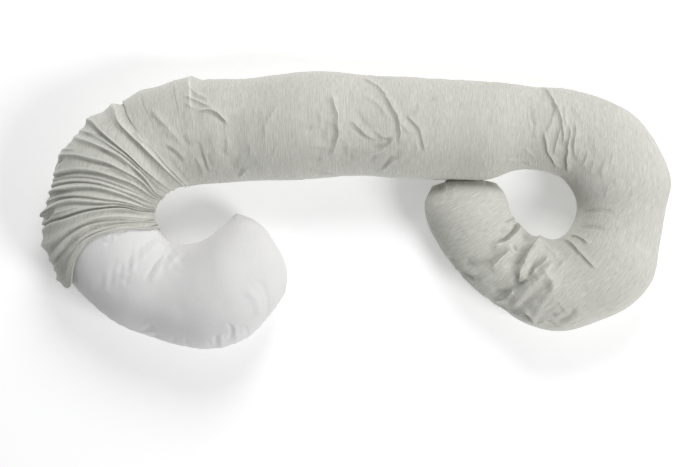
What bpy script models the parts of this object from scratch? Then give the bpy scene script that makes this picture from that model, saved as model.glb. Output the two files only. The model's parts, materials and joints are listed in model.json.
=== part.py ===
"""Long body pillow, curled in at both ends, in a crinkled gauze cover that is pulled back off one end.

Run with: blender --background --python part.py. Metres, +Z up, origin on the floor under the middle.
The pillow lies on its back. It is one filled solid, and the cover is a thin sleeve of cloth around it,
closed at the right-hand tip and open at its mouth, where the bare end of the pillow comes out.
"""
import math

import bmesh
import bpy
import numpy as np

COLLECTION = "body_pillow"

# Driving sizes, in metres.
CLOTH = 0.002           # the cover's cloth, with its crinkle
SLACK = 0.004           # gap between the cover's inside and the pillow,
TIP_GAP = 0.009         # and between the end seams of the two at the covered tip, cloth included
DEPTH = 0.176           # height of the filled pillow, where it is FULL_WIDTH wide
FULL_WIDTH = 0.250
PLUMPNESS = 0.8         # how the height follows the width: 0 not at all, 1 in full
SIDE_HEIGHT = 0.46      # height of the widest line, as a share of the pillow's height
FLOOR_PRESS = 0.010     # how much of the round underside the weight presses flat
BARE_TIP = {"round": 0.125, "bow": 0.042}      # a tip rounds down over "round" to its end seam,
COVERED_TIP = {"round": 0.095, "bow": 0.011}   # which bows out by "bow" in the middle,
BOW_POWER = 3           # and falls away to its corners by this power
BARE_TO = 0.330         # along the pillow: bare up to here,
INSIDE_FROM = 0.372     # and wholly inside the cover from here
SIDES = 22              # points round each section

# The pillow from its bare tip to its covered tip, seen from above. Each row is one section: x and y of
# its middle and its width in millimetres, and the way that its outer side faces in degrees.
SECTIONS = (
    # x, y, facing, width
    (-232, -102, -58, 229),
    (-266, -143, -60, 246),
    (-314, -187, -71, 267),
    (-370, -207, -81, 265),
    (-429, -206, -91, 249),
    (-479, -191, -102, 240),
    (-527, -168, -117, 244),
    (-565, -136, -131, 245),
    (-595, -99, -145, 252),
    (-618, -51, -161, 262),
    (-619, 0, -176, 260),
    (-604, 51, -190, 260),
    (-581, 96, -203, 263),
    (-543, 133, -217, 260),
    (-493, 161, -232, 255),
    (-430, 181, -247, 254),
    (-348, 194, -261, 255),
    (-261, 199, -269, 249),
    (-163, 207, -269, 252),
    (-65, 213, -269, 254),
    (36, 209, -270, 247),
    (136, 203, -271, 251),
    (238, 199, -273, 241),
    (338, 198, -274, 232),
    (409, 203, -280, 208),
    (477, 200, -290, 213),
    (538, 186, -303, 222),
    (599, 154, -322, 237),
    (636, 107, -335, 238),
    (657, 54, -349, 238),
    (653, 4, -361, 219),
    (641, -53, -376, 218),
    (625, -108, -392, 238),
    (590, -147, -405, 239),
    (540, -170, -420, 231),
    (486, -182, -437, 231),
    (432, -171, -453, 218),
    (387, -144, -467, 197),
    (349, -117, -482, 187),
    (319, -81, -499, 187),
    (292, -40, -515, 197),
    (274, 2, -527, 206),
    (268, 38, -533, 192),
    (268, 65, -537, 158),
)

# The pushed-up gathers, from the cover's mouth on. Each row is the crest of one fold: how far along the
# pillow it crosses the outer side, the top and the inner side, and its rise at the outer side and on top.
GATHERS = (
    # outer, top, inner, rise outside, rise on top, all in millimetres
    (466, 486, 406, 18, 5),
    (487, 503, 428, 14, 6),
    (505, 524, 452, 24, 7),
    (522, 546, 474, 21, 10),
    (543, 556, 493, 21, 6),
    (556, 568, 510, 10, 7),
    (569, 586, 527, 13, 7),
    (589, 604, 545, 11, 8),
    (607, 631, 562, 14, 9),
    (634, 653, 580, 16, 9),
    (661, 674, 602, 14, 9),
    (682, 687, 640, 9, 6),
    (704, 703, 664, 17, 9),
    (747, 732, 700, 15, 7),
    (795, 785, 760, 14, 3),
    (862, 850, 840, 17, 0),
)
MOUTH = (438, 479, 388)       # where the hem crosses the outer side, the top and the inner side
MOUTH_UNDER = 408             # and where it crosses the underside
FLARE = (17, 3, 6)            # how far the hem stands off there
VALLEY_FILL = (0.5, 0.2)      # a valley lies at this share of its lower neighbour's rise, outside and on top
SHOULDER = {"towards": 1 / 3, "rise": 0.8}     # each fold holds "rise" at "towards" of its way to the valley
INSIDE_SHARE = 1 / 3          # rise at the inner side, as a share of the rise on top
SETTLED = 46                  # distance past the last fold where the cover lies smooth again

# Single folds in the cover, as straight ridges on its skin: from and to, each as millimetres along the
# pillow and degrees round it (0 outer side, 90 top, 180 inner side), then rise and half-breadth.
RIDGES = (
    # from along, round, to along, round, rise, half-breadth
    (1692, 172, 1672, 70, 7, 12),
    (1722, 172, 1728, 90, 9, 11),
    (1728, 90, 1690, 18, 8, 11),
    (1756, 168, 1762, 85, 7, 11),
    (2452, 172, 2405, 118, 13, 13),
    (2388, 178, 2402, 96, 9, 15),
    (2330, 178, 2352, 95, 9, 14),
    (2300, 172, 2215, 105, 6, 12),
    (2395, 2, 2330, 38, 11, 12),
    (2330, 38, 2292, 6, 9, 12),
    (2520, 4, 2470, 52, 9, 13),
)

# Rings of the cover past the gathers: along the pillow from, to and step, in millimetres.
PLAIN_RINGS = ((940, 1610, 67), (1640, 1800, 20), (1826, 2190, 26), (2215, 2500, 19), (2530, 2570, 30))
TIP_RINGS = (0, 3, 10, 22, 40, 65)     # distances of the last rings from an end seam
BARE_STEP = 0.022                      # between rings of the pillow where it shows,
HIDDEN_STEP = 0.038                    # and inside the cover

WHITE_COTTON = (0.80, 0.80, 0.81)
SAGE_GAUZE = (0.58, 0.59, 0.54)


def along_of(rows):
    """Distance of each section from the first one, along the pillow's middle."""
    steps = np.hypot(np.diff(rows[:, 0]), np.diff(rows[:, 1]))
    return np.concatenate([[0.0], np.cumsum(steps)])


ROWS = np.array(SECTIONS) * (0.001, 0.001, math.pi / 180, 0.001)
ALONG = along_of(ROWS)
LENGTH = float(ALONG[-1])
SLOPES = np.gradient(ROWS, ALONG, axis=0)


def section(s):
    """Middle, outward direction, half width and height of the section at s, by a cubic through the rows."""
    i = np.clip(np.searchsorted(ALONG, s, side="right") - 1, 0, len(ALONG) - 2)
    gap = (ALONG[i + 1] - ALONG[i])[..., None]
    t = np.clip((s - ALONG[i]) / gap[..., 0], 0, 1)[..., None]
    row = (2 * t**3 - 3 * t**2 + 1) * ROWS[i] + (t**3 - 2 * t**2 + t) * gap * SLOPES[i]
    row = row + (3 * t**2 - 2 * t**3) * ROWS[i + 1] + (t**3 - t**2) * gap * SLOPES[i + 1]
    facing, width = row[..., 2], row[..., 3]
    outward = np.stack([np.cos(facing), np.sin(facing)], axis=-1)
    return row[..., :2], outward, width / 2, DEPTH * (width / FULL_WIDTH) ** PLUMPNESS


def tip_shape(s, end):
    """How full the pillow is at s, 1 away from the tips and 0 at an end seam, and its bow to that seam."""
    from_bare = np.clip(s / BARE_TIP["round"], 0, 1)
    from_covered = np.clip((end - s) / COVERED_TIP["round"], 0, 1)
    nearest = np.minimum(from_bare, from_covered)
    bow = COVERED_TIP["bow"] * (1 - from_covered) - BARE_TIP["bow"] * (1 - from_bare)
    return np.sqrt(1 - (1 - nearest) ** 2), bow


def skin(s, angle, inset=0.0, lift=0.0, end=LENGTH):
    """Points of the pillow's skin at s along it and angle round it, moved in by inset and out by lift."""
    middle, outward, half, height = section(s)
    full, bow = tip_shape(s, end)
    forward = np.stack([outward[..., 1], -outward[..., 0]], axis=-1)
    across, up = np.cos(angle), np.sin(angle)
    side = SIDE_HEIGHT * height
    rise = np.where(up > 0, height - side - inset, side + FLOOR_PRESS - inset) * full
    out = (half - inset + lift) * across
    ahead = bow * (1 - np.abs(across) ** BOW_POWER)
    plan = middle + outward * out[..., None] + forward * ahead[..., None]
    z = side + rise * up + lift * up
    return np.concatenate([plan, np.maximum(z, inset)[..., None]], axis=-1)


def crossing(outer, top, inner, angle, under=None):
    """Where a line round the pillow lies at angle, given where it crosses the two sides and the top."""
    across, up = np.cos(angle), np.sin(angle)
    mean = (outer + inner) / 2
    under = mean if under is None else under
    return mean + (outer - inner) / 2 * across + np.where(up > 0, top - mean, under - mean) * up**2


def cover_rings():
    """The cover's rings, mouth to tip, as (crossings, rise outside, rise on top) in millimetres."""
    rings = [(MOUTH, FLARE[0], FLARE[1])]
    for before, crest in zip(((*MOUTH, *FLARE[:2]), *GATHERS), np.array(GATHERS)):
        valley = (before + crest) / 2
        valley[3:] = VALLEY_FILL * np.minimum(before, crest)[3:]
        shoulder = crest + (valley - crest) * SHOULDER["towards"]
        shoulder[3:] = np.maximum(valley[3:], SHOULDER["rise"] * crest[3:])
        rings += [(row[:3], row[3], row[4]) for row in (valley, shoulder, crest)]
    rings.append(((GATHERS[-1][0] + SETTLED,) * 3, 0, 0))
    for start, stop, step in PLAIN_RINGS:
        rings += [((s,) * 3, 0, 0) for s in range(start, stop + 1, step)]
    rings += [((LENGTH * 1000 - d,) * 3, 0, 0) for d in reversed(TIP_RINGS)]
    return rings


def ridge_lift(s, angle):
    """How far the single folds lift the cover at s along the pillow and angle round it."""
    _, _, half, _ = section(s)
    here = np.stack([s, angle * half], axis=-1)
    lift = np.zeros_like(s)
    for along_a, round_a, along_b, round_b, rise, breadth in RIDGES:
        a = np.stack([np.full_like(s, along_a / 1000), math.radians(round_a) * half], axis=-1)
        b = np.stack([np.full_like(s, along_b / 1000), math.radians(round_b) * half], axis=-1)
        run = ((here - a) * (b - a)).sum(-1) / ((b - a) ** 2).sum(-1)
        off = np.linalg.norm(here - a - np.clip(run, 0, 1)[..., None] * (b - a), axis=-1)
        lift = np.maximum(lift, rise / 1000 * np.exp(-((off / (breadth / 1000)) ** 2)))
    return lift


def cover_points():
    angles = np.arange(SIDES) * 2 * math.pi / SIDES
    across, up = np.cos(angles), np.sin(angles)
    rings = []
    for index, (marks, rise_outside, rise_on_top) in enumerate(cover_rings()):
        outer, top, inner = (m / 1000 for m in marks)
        under = MOUTH_UNDER / 1000 if index == 0 else None
        s = crossing(outer, top, inner, angles, under)
        rise_inside = FLARE[2] if index == 0 else rise_on_top * INSIDE_SHARE
        side_rise = np.where(across > 0, rise_outside, rise_inside)
        lift = (side_rise * across**2 + rise_on_top * up**2) / 1000
        if index > 0:
            lift = lift + ridge_lift(s, angles)
        rings.append(skin(s, angles, 0.0, lift))
    return np.array(rings)


def pillow_points():
    tip = np.array(TIP_RINGS) / 1000
    end = LENGTH - TIP_GAP
    bare = np.arange(tip[-1] + BARE_STEP, INSIDE_FROM, BARE_STEP)
    hidden = np.arange(bare[-1] + HIDDEN_STEP, end - tip[-1] - HIDDEN_STEP / 2, HIDDEN_STEP)
    stations = np.concatenate([tip, bare, hidden, end - tip[::-1]])
    angles = np.arange(SIDES) * 2 * math.pi / SIDES
    t = np.clip((stations - BARE_TO) / (INSIDE_FROM - BARE_TO), 0, 1)
    inset = (CLOTH + SLACK) * t * t * (3 - 2 * t)
    s, angle = np.broadcast_arrays(stations[:, None], angles[None, :])
    return skin(s, angle, np.broadcast_to(inset[:, None], s.shape), end=end)


def loft(name, rings, colour):
    """An object whose skin runs through the rings. A ring pressed flat onto an end seam is sewn shut."""
    mesh = bmesh.new()
    points = [[mesh.verts.new(p) for p in ring] for ring in rings]
    for ring, following in zip(points, points[1:]):
        for j in range(SIDES):
            k = (j + 1) % SIDES
            mesh.faces.new((ring[j], ring[k], following[k], following[j]))
    seam_points = points[0] + points[-1]
    bmesh.ops.remove_doubles(mesh, verts=seam_points, dist=1e-5)
    data = bpy.data.meshes.new(name)
    mesh.to_mesh(data)
    mesh.free()
    data.shade_smooth()
    piece = bpy.data.objects.new(name, data)
    bpy.data.collections[COLLECTION].objects.link(piece)
    data.materials.append(cloth_material(name + "_cloth", colour))
    return piece


def cloth_material(name, colour):
    material = bpy.data.materials.new(name)
    material.use_nodes = True
    shader = material.node_tree.nodes["Principled BSDF"]
    shader.inputs["Base Color"].default_value = (*colour, 1.0)
    shader.inputs["Roughness"].default_value = 0.9
    shader.inputs["Metallic"].default_value = 0.0
    return material


def make_pillow():
    return loft("pillow", pillow_points(), WHITE_COTTON)


def make_cover():
    cover = loft("cover", cover_points(), SAGE_GAUZE)
    wall = cover.modifiers.new("cloth", "SOLIDIFY")
    wall.thickness = CLOTH
    wall.offset = -1.0
    wall.use_even_offset = True
    return cover


def main():
    for old in list(bpy.data.objects):
        bpy.data.objects.remove(old)
    bpy.context.scene.collection.children.link(bpy.data.collections.new(COLLECTION))
    make_pillow()
    make_cover()


main()
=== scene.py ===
import json
import math

import bpy
import numpy as np
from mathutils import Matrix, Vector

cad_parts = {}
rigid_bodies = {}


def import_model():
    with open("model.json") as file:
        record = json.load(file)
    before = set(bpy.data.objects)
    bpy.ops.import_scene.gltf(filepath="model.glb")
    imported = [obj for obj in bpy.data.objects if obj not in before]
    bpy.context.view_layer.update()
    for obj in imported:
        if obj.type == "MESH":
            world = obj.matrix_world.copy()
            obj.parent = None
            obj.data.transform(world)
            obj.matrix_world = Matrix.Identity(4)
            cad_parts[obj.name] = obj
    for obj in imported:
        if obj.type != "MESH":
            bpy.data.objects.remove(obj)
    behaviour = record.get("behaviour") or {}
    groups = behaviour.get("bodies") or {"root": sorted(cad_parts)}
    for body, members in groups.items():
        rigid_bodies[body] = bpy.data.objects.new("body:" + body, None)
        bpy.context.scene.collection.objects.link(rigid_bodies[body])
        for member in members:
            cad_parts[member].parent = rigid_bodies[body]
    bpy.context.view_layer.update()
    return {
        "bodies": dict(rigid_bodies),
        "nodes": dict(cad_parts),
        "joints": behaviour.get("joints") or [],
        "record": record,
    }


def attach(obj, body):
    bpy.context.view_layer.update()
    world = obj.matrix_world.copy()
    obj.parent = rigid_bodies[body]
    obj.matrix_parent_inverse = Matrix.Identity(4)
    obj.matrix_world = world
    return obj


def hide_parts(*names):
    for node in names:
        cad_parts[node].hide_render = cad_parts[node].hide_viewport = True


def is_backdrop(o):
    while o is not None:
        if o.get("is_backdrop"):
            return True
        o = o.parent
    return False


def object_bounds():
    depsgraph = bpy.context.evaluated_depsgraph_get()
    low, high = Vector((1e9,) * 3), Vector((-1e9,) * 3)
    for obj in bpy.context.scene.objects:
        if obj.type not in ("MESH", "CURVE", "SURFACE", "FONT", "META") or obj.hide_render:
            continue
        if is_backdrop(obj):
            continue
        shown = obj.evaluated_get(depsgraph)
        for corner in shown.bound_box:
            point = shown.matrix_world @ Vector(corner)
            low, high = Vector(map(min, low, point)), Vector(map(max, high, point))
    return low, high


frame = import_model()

# The filled pillow. Two curled panels of white cotton are sewn together down both sides, turned and
# stuffed with fibre. It runs from tip to tip, but only its left end comes out of the cover.

# Its plan, from the bare tip to the covered tip: the middle of each section, the way that its outer side
# faces and its width.
PILLOW_PLAN = (
    # x, y (mm), facing (degrees), width (mm)
    (-232, -102, -58, 229),
    (-266, -143, -60, 246),
    (-314, -187, -71, 267),
    (-370, -207, -81, 265),
    (-429, -206, -91, 249),
    (-479, -191, -102, 240),
    (-527, -168, -117, 244),
    (-565, -136, -131, 245),
    (-595, -99, -145, 252),
    (-618, -51, -161, 262),
    (-619, 0, -176, 260),
    (-604, 51, -190, 260),
    (-581, 96, -203, 263),
    (-543, 133, -217, 260),
    (-493, 161, -232, 255),
    (-430, 181, -247, 254),
    (-348, 194, -261, 255),
    (-261, 199, -269, 249),
    (-163, 207, -269, 252),
    (-65, 213, -269, 254),
    (36, 209, -270, 247),
    (136, 203, -271, 251),
    (238, 199, -273, 241),
    (338, 198, -274, 232),
    (409, 203, -280, 208),
    (477, 200, -290, 213),
    (538, 186, -303, 222),
    (599, 154, -322, 237),
    (636, 107, -335, 238),
    (657, 54, -349, 238),
    (653, 4, -361, 219),
    (641, -53, -376, 218),
    (625, -108, -392, 238),
    (590, -147, -405, 239),
    (540, -170, -420, 231),
    (486, -182, -437, 231),
    (432, -171, -453, 218),
    (387, -144, -467, 197),
    (349, -117, -482, 187),
    (319, -81, -499, 187),
    (292, -40, -515, 197),
    (274, 2, -527, 206),
    (268, 38, -533, 192),
    (268, 65, -537, 158),
)
FULL_DEPTH, FULL_WIDTH = 0.176, 0.250     # metres: its height where it is at full width
PLUMPNESS = 0.8                           # how far the height follows the width
SIDE_HEIGHT = 0.46                        # height of the side seams, as a share of the whole height
FLOOR_PRESS = 0.010                       # how much of the round underside its weight presses flat
FLOOR_BLEND = 0.008                       # and how softly the underside turns up from there
BARE_TIP_ROUND, BARE_TIP_BOW = 0.125, 0.042
COVERED_TIP_ROUND, COVERED_TIP_BOW = 0.095, 0.011
BOW_POWER = 3


def through(rows, at, x):
    """A smooth curve through rows, which lie at the places in at, read at x."""
    slopes = np.gradient(rows, at, axis=0)
    i = np.clip(np.searchsorted(at, x, side="right") - 1, 0, len(at) - 2)
    gap = (at[i + 1] - at[i])[..., None]
    t = np.clip((x - at[i])[..., None] / gap, 0, 1)
    near = (2 * t**3 - 3 * t**2 + 1) * rows[i] + (t**3 - 2 * t**2 + t) * gap * slopes[i]
    return near + (3 * t**2 - 2 * t**3) * rows[i + 1] + (t**3 - t**2) * gap * slopes[i + 1]


plan = np.array(PILLOW_PLAN) * (0.001, 0.001, math.pi / 180, 0.001)
along = np.concatenate([[0], np.cumsum(np.hypot(np.diff(plan[:, 0]), np.diff(plan[:, 1])))])
length = float(along[-1])


def section(s):
    """Middle, outward direction, half width and height of the pillow at s along it."""
    row = through(plan, along, s)
    outward = np.stack([np.cos(row[..., 2]), np.sin(row[..., 2])], axis=-1)
    return row[..., :2], outward, row[..., 3] / 2, FULL_DEPTH * (row[..., 3] / FULL_WIDTH) ** PLUMPNESS


def off_floor(z, soft):
    """z, turned up smoothly so that nothing goes below the floor."""
    return np.maximum(z, 0) + np.maximum(soft - np.abs(z), 0) ** 2 / (4 * soft)


def skin(s, angle, lift=0.0, end=length):
    """The pillow's skin at s along it and angle round it, moved out by lift.

    The angle is 0 at the outer seam, a quarter turn on top and half a turn at the inner seam."""
    middle, outward, half, height = section(s)
    forward = np.stack([outward[..., 1], -outward[..., 0]], axis=-1)
    from_bare = np.clip(s / BARE_TIP_ROUND, 0, 1)
    from_covered = np.clip((end - s) / COVERED_TIP_ROUND, 0, 1)
    full = np.sqrt(1 - (1 - np.minimum(from_bare, from_covered)) ** 2)
    bow = COVERED_TIP_BOW * (1 - from_covered) - BARE_TIP_BOW * (1 - from_bare)
    across, up = np.cos(angle), np.sin(angle)
    side = SIDE_HEIGHT * height
    rise = np.where(up > 0, height - side, side + FLOOR_PRESS) * full
    out = (half + lift) * across
    ahead = bow * (1 - np.abs(across) ** BOW_POWER)
    place = middle + outward * out[..., None] + forward * ahead[..., None]
    z = side + (rise + lift * np.minimum(full * 3, 1)) * up
    z = np.where(up < 0, off_floor(z, FLOOR_BLEND), z)
    return np.concatenate([place, z[..., None]], axis=-1)


def noise(u, v, seed):
    """Smooth unevenness between -1 and 1 over u and v, with about one bump to each unit."""
    size = 97
    heights = np.random.default_rng(seed).uniform(-1, 1, (size, size))
    total = 0
    for turn, share in ((0.0, 0.65), (0.9, 0.5)):
        a = u * math.cos(turn) - v * math.sin(turn) + 31.7
        b = u * math.sin(turn) + v * math.cos(turn) + 47.3
        i, j = np.floor(a).astype(int), np.floor(b).astype(int)
        p, q = a - i, b - j
        p, q = p * p * p * (p * (p * 6 - 15) + 10), q * q * q * (q * (q * 6 - 15) + 10)
        low = heights[i % size, j % size] * (1 - q) + heights[i % size, (j + 1) % size] * q
        high = heights[(i + 1) % size, j % size] * (1 - q) + heights[(i + 1) % size, (j + 1) % size] * q
        total = total + share * (low * (1 - p) + high * p)
        heights = heights.T[::-1]
    return total


def smooth_step(t):
    t = np.clip(t, 0, 1)
    return t * t * (3 - 2 * t)


ROUND_SEAM = 2.0                # how far round a seam a point past it goes, in radians to each half width


def on_skin(points):
    """Where points on the top, seen from above in metres, lie: along the pillow and round it."""
    s = np.linspace(0, length, 1400)
    middle, outward, half, _ = section(s)
    away = points[:, None, :] - middle[None]
    across = (away * outward[None]).sum(-1) / half[None]
    ahead = np.abs(away[..., 0] * outward[None, :, 1] - away[..., 1] * outward[None, :, 0])
    ahead = ahead + np.where(np.abs(across) < 1.2, 0, 1)
    best = ahead.argmin(axis=1)
    across = across[np.arange(len(points)), best]
    beyond = np.maximum(across - 1, 0) - np.maximum(-across - 1, 0)
    return s[best], np.arccos(np.clip(across, -1, 1)) - ROUND_SEAM * beyond


CREASE_FADE = 0.020             # how far from its ends a long crease reaches its full rise
CRISP, CRISP_RISE = 0.0026, 0.004   # the breadth of a crest's painted highlight, and the rise that paints it fully
CRISP_TROUGH = 0.0056           # painted shade in a trough, or down a crest's steep side, is full up to this breadth
# Weights of the painted highlight along round and sharp crests, and of the painted shade in troughs and down
# steep sides
ROUND_MARK, SHARP_MARK, DARK_MARK = 0.6, 0.3, 0.8
SHARPNESS = 1.35                # a sharp crest falls away with this power of the distance, a round one with 2
UNEVEN, UNEVEN_STEP = 0.0024, 0.021  # how far a crease strays from its line, and over what distance
LINE_SETS, LINE_REACH = 3, 0.009    # crest lines nearer than twice this reach go in different sets


def crease_lift(base, creases):
    """How far a list of creases lifts the cloth at base, its points before any lift, their marks and, for
    each set of crest lines, how far past its nearest line they are and how crisp it is there.

    Each crease is (rise, breadth on its left, breadth on its right, points seen from above), in
    millimetres. It fades out towards both of its ends. One with two different breadths is a sharp crest,
    and any other is round. Its mark is above 0 along a crest, as a painted highlight, and below 0 in a
    trough and down the steeper side of a crest, as painted shade."""
    lift, mark = np.zeros(base.shape[:-1]), np.zeros(base.shape[:-1])
    flat = base.reshape(-1, 3).copy()
    u, v = flat[:, 0] / UNEVEN_STEP, flat[:, 1] / UNEVEN_STEP
    flat[:, 0] += UNEVEN * noise(u, v, 61)
    flat[:, 1] += UNEVEN * noise(u, v, 62)
    lines = np.zeros((LINE_SETS, 2, len(flat)))
    for rise, left, right, points in creases:
        knots = np.array(points) / 1000
        steps = np.concatenate([[0], np.cumsum(np.hypot(*np.diff(knots, axis=0).T))])
        t = np.linspace(0, 1, int(steps[-1] / 0.003) + 3)
        line = skin(*on_skin(through(knots, steps, t * steps[-1])))
        low, high = line.min(axis=0) - 0.06, line.max(axis=0) + 0.06
        near = np.nonzero(((flat > low) & (flat < high)).all(axis=1))[0]
        if not len(near):
            continue
        away = flat[near, None] - line[None]
        distance = np.linalg.norm(away, axis=-1)
        nearest = distance.argmin(axis=1)
        distance = distance.min(axis=1)
        run = np.gradient(line, axis=0)[nearest]
        here = away[np.arange(len(near)), nearest]
        on_left = run[:, 0] * here[:, 1] - run[:, 1] * here[:, 0] > 0
        breadth = np.where(on_left, left, right) / 1000
        steep = breadth < np.where(on_left, right, left) / 1000
        ends = min(CREASE_FADE / steps[-1], 0.25)
        fade = (smooth_step(t / ends) * smooth_step((1 - t) / ends))[nearest]
        swell = np.exp(-((distance / breadth) ** (2.0 if left == right else SHARPNESS)))
        lift.reshape(-1)[near] += rise / 1000 * fade * swell
        # The mark: painted shade in a trough and down a crest's steeper side, and a painted highlight along a
        # crest.
        side = 2.3 * distance / breadth * swell * steep if rise > 0 else swell
        side = side * np.minimum(CRISP_TROUGH / breadth, 1) ** 1.5
        crest = np.exp(-((distance / CRISP) ** 2)) * (rise > 0)
        full = min(abs(rise) / 1000 / CRISP_RISE, 1) * fade
        crest *= ROUND_MARK if left == right else SHARP_MARK
        mark.reshape(-1)[near] += full * (crest - DARK_MARK * side)
        if left == right:
            continue
        close = distance < LINE_REACH
        at = near[close]
        line_set = lines[np.argmin([np.count_nonzero(taken[at]) for taken in lines[:, 1]])]
        past = np.where(steep, distance, -distance)[close]
        crisp = full[close] ** 1.4 * smooth_step((1 - distance[close] / LINE_REACH) * 2.5)
        nearer = (line_set[1, at] == 0) | (np.abs(past) < np.abs(line_set[0, at]))
        line_set[:, at[nearer]] = past[nearer], crisp[nearer]
    return lift, mark, lines


def columns(top, under):
    """Angles of a tube's columns: top spans over it from seam to seam and under spans back beneath it."""
    over = math.pi * np.arange(top + 1) / top
    beneath = math.pi + math.pi * np.arange(1, under) / under
    return np.concatenate([over, beneath])


def tube_faces(first, rings, top, under, shut_start, shut_end):
    """Faces of a tube with those columns, whose points count from first, ring by ring.

    A shut end is sewn: its underside takes the points of its top, and shares all of them."""
    sides = top + under
    index = first + np.arange(rings * sides).reshape(rings, sides)
    pair = top // under
    twin = np.concatenate([np.arange(top + 1), top - pair * np.arange(1, under)])
    faces = []
    for ring in range(rings - 1):
        near, far = index[ring], index[ring + 1]
        for j in range(sides):
            k = (j + 1) % sides
            between = [top - pair * (j - top) - step for step in range(pair - 1, 0, -1)] if j >= top else []
            if shut_start and ring == 0:
                faces.append([near[twin[j]], *near[between[::-1]], near[twin[k]], far[k], far[j]])
            elif shut_end and ring == rings - 2:
                faces.append([near[j], near[k], far[twin[k]], *far[between], far[twin[j]]])
            else:
                faces.append([near[j], near[k], far[k], far[j]])
    return faces


def cloth_mesh(name, points, faces, extra=None):
    """A smooth-shaded piece from the points that faces use.

    extra is a dictionary: "cut_cloth" gives every point its place in the flat cloth, as a UV map, and any
    other name gives every point a number. It also gives back which of the points it kept."""
    corners = np.concatenate([np.array(face) for face in faces])
    used, renumbered = np.unique(corners, return_inverse=True)
    kept, at = [], 0
    for face in faces:
        row = renumbered[at:at + len(face)].tolist()
        at += len(face)
        row = [c for n, c in enumerate(row) if c != row[n - 1]]
        if len(row) > 2:
            kept.append(row)
    mesh = bpy.data.meshes.new(name)
    mesh.from_pydata(points[used].tolist(), [], kept)
    for key, values in (extra or {}).items():
        if key == "cut_cloth":
            layer = mesh.uv_layers.new(name=key)
            layer.data.foreach_set("uv", values[used][np.concatenate(kept)].astype(np.float32).ravel())
        else:
            mark = mesh.attributes.new(key, "FLOAT", "POINT")
            mark.data.foreach_set("value", values[used].astype(np.float32))
    mesh.shade_smooth()
    piece = bpy.data.objects.new(name, mesh)
    bpy.context.scene.collection.objects.link(piece)
    return piece, used


# The pillow's rings. They are close together where it shows, and wide apart inside the cover.
PILLOW_TOP, PILLOW_UNDER = 120, 60
PILLOW_RINGS = ((0.0, 0.012, 5), (0.012, 0.50, 160), (0.50, 2.55, 110), (2.55, length - 0.012, 12))
HEM_LINE = (442, 432, 463, 482, 466, 414, 383)     # mm along to the cover's hem, from outer to inner seam
INSIDE_OVER, INSIDE_BY = 0.150, 0.0105             # past it, the skin goes in by this much over this distance
INSIDE_FROM, CREASED_TO = 0.010, 0.030             # from where before it, and where creases end past it
TIP_CLEARANCE = 0.006                              # its covered tip ends this far short of the cover's

# What the filling and the sewing leave on the bare end, in millimetres, as crease_lift takes them: soft
# folds that run out from the hem, a dent, and the small tucks along the seam.
PILLOW_CREASES = (
    (-2.6, 4, 4, ((-601, -82), (-589, -70), (-580, -58))),
    (1.8, 4, 4, ((-606, -73), (-594, -63), (-585, -54))),
    (-2.8, 5, 4, ((-578, -68), (-564, -56), (-548, -46))),
    (-2.6, 6, 9, ((-480, -61), (-505, -78), (-529, -99), (-552, -125), (-572, -154))),
    (2.8, 10, 8, ((-468, -71), (-493, -90), (-515, -112), (-538, -137), (-560, -167))),
    (-3.2, 4, 5, ((-461, -97), (-480, -121), (-493, -145), (-505, -168))),
    (2.2, 7, 7, ((-448, -105), (-468, -131), (-481, -155), (-493, -176))),
    (-2.4, 4, 5, ((-434, -85), (-453, -107), (-467, -133))),
    (2, 6, 6, ((-423, -95), (-442, -119), (-456, -143))),
    (-2.6, 4, 5, ((-479, -51), (-466, -73), (-444, -86))),
    (-1.6, 4, 5, ((-406, -95), (-414, -109), (-428, -123))),
    (-2.6, 9, 6, ((-263, -176), (-240, -200), (-226, -230), (-218, -260))),
    (2.6, 9, 9, ((-282, -190), (-258, -215), (-244, -242), (-239, -267))),
    (-3, 3.5, 3.5, ((-338, -299), (-338, -320), (-344, -345))),
    (2.6, 5, 5, ((-326, -294), (-325, -317), (-329, -342))),
    (-3, 3.5, 3.5, ((-311, -267), (-300, -287), (-307, -323))),
    (2.4, 5, 5, ((-292, -272), (-289, -295), (-291, -324))),
    (-2.4, 3.5, 3.5, ((-271, -278), (-266, -298), (-259, -316))),
    (-2, 3.5, 3.5, ((-358, -314), (-351, -330), (-346, -345))),
    (-1.8, 3.5, 4, ((-438, -303), (-444, -321), (-449, -335))),
    (-1.8, 3.5, 4, ((-415, -307), (-411, -323), (-413, -340))),
    (-1.6, 4, 4, ((-189, -100), (-179, -96), (-167, -94))),
    (-1.6, 4, 4, ((-184, -124), (-173, -124), (-162, -125))),
)
SEAM_TUCKS = (
    # along from, to (m), seam (0 outer, 1 inner), tucks, depth (mm), reach in from the seam (mm)
    (0.020, 0.200, 0, 13, 2.8, 26),
    (0.200, 0.440, 0, 13, 2.4, 20),
    (0.010, 0.180, 1, 9, 2.2, 26),
    (0.180, 0.420, 1, 14, 1.2, 20),
)
SEAM_DEPTH, SEAM_BREADTH = 0.0012, 0.0022
MEAN_RADIUS = 0.11
PILLOW_UNEVEN = (
    # rise, reach along and round the pillow (m), seed
    (0.0010, 0.085, 0.085, 11),
    (0.0004, 0.030, 0.035, 12),
)


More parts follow.
